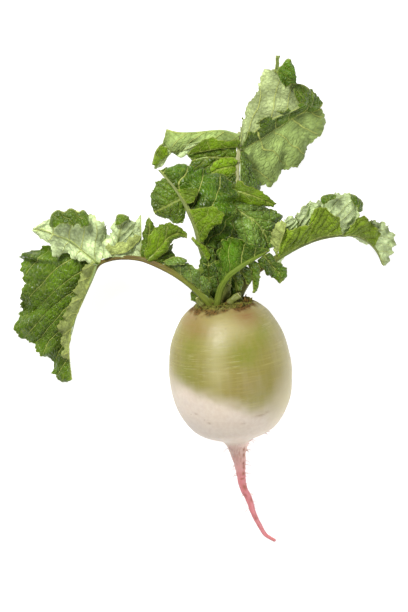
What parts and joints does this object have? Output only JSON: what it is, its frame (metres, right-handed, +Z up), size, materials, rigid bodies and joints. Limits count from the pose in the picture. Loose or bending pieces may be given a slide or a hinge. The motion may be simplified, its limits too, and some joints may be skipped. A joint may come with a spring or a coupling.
{
  "type": "radish",
  "caption": "Green-shouldered bunching radish with tap root and leaves, pulled and laid on its side.",
  "frame": {"origin": "middle of the small flat spot that the bulb rests on", "axes": "+Z up from the surface, +Y from the bulb towards the leaves, +X to the right seen from above"},
  "size_m": [0.2681, 0.3411, 0.0869],
  "materials": {
    "root_skin": "satin, waxy",
    "leaf_green": "semi-matte",
    "stub_pale": "matte"
  },
  "bodies": {
    "root": {"root": "root_skin", "leaf_left": "leaf_green", "leaf_tall": "leaf_green", "leaf_upper": "leaf_green", "leaf_centre": "leaf_green", "leaf_front": "leaf_green", "leaf_right": "leaf_green", "heart_left": "leaf_green", "heart_mid": "leaf_green", "heart_right": "leaf_green", "leaf_low": "leaf_green", "stub_tall": "stub_pale", "stub_slant": "stub_pale", "stub_dark": "stub_pale", "stub_left": "stub_pale"}
  },
  "joints": []
}
